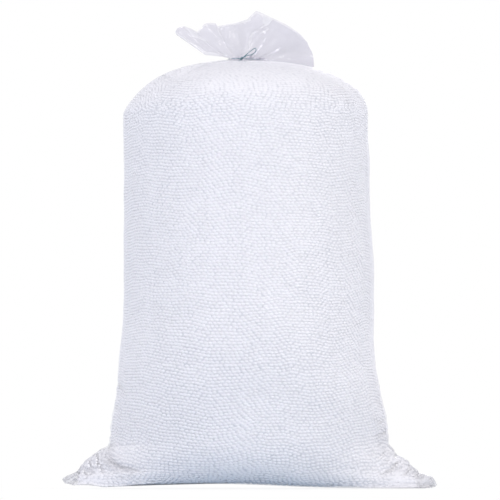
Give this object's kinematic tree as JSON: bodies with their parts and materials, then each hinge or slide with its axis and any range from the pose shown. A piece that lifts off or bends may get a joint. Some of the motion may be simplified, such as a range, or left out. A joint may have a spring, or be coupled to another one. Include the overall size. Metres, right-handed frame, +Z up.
{
  "type": "bag of polystyrene beads",
  "caption": "Clear film bag filled with white polystyrene beads, standing on its flat base, with the gathered neck tied by a thin coated wire.",
  "frame": {"origin": "middle of the flat base, on the floor under the axis of the filled body", "axes": "+Z up along the bag, -Y towards the front with the knot of the tie, +X to the right ear"},
  "size_m": [0.523, 0.3456, 0.6629],
  "materials": {
    "clear_film": "clear glossy film",
    "white_beads": "white foamed beads",
    "coated_wire": "satin plastic coating"
  },
  "bodies": {
    "root": {"film_bag": "clear_film", "bead_fill": "white_beads", "wire_tie": "coated_wire"}
  },
  "joints": []
}
